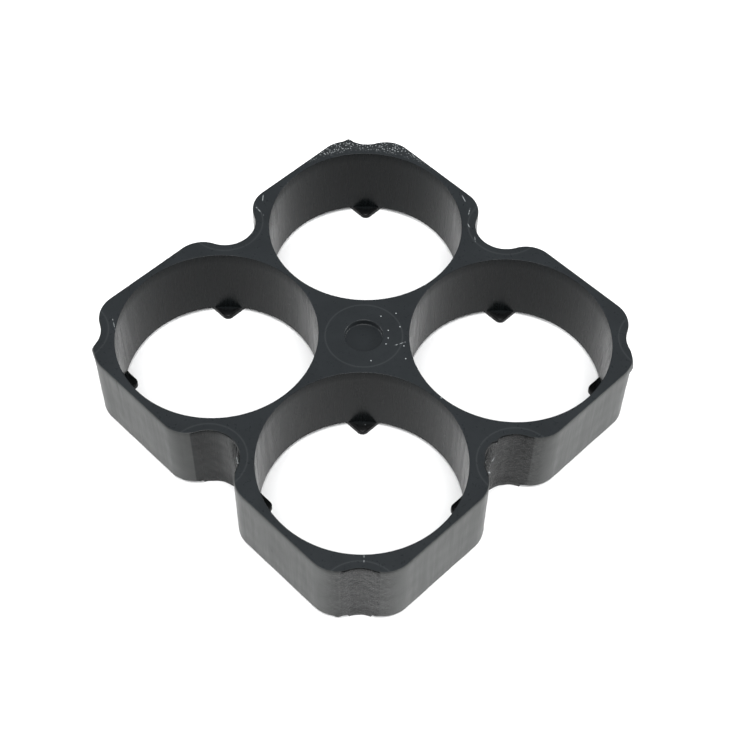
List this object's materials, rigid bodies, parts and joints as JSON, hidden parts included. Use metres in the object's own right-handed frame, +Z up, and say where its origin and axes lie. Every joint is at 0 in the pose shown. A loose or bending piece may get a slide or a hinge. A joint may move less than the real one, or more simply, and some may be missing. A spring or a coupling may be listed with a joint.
{
  "type": "battery cell holder bracket",
  "caption": "Flat square moulded plastic spacer with round open bores for cylindrical cells, small end stops at their feet, and rounded notches around its edge.",
  "frame": {"origin": "centre of the flat underside", "axes": "+Z up out of the cell bores, X and Y along the two rows of cells"},
  "size_m": [0.0694, 0.0694, 0.0149],
  "materials": {
    "moulded_plastic": "satin black, as moulded"
  },
  "bodies": {
    "root": {"cell_bracket": "moulded_plastic"}
  },
  "joints": []
}
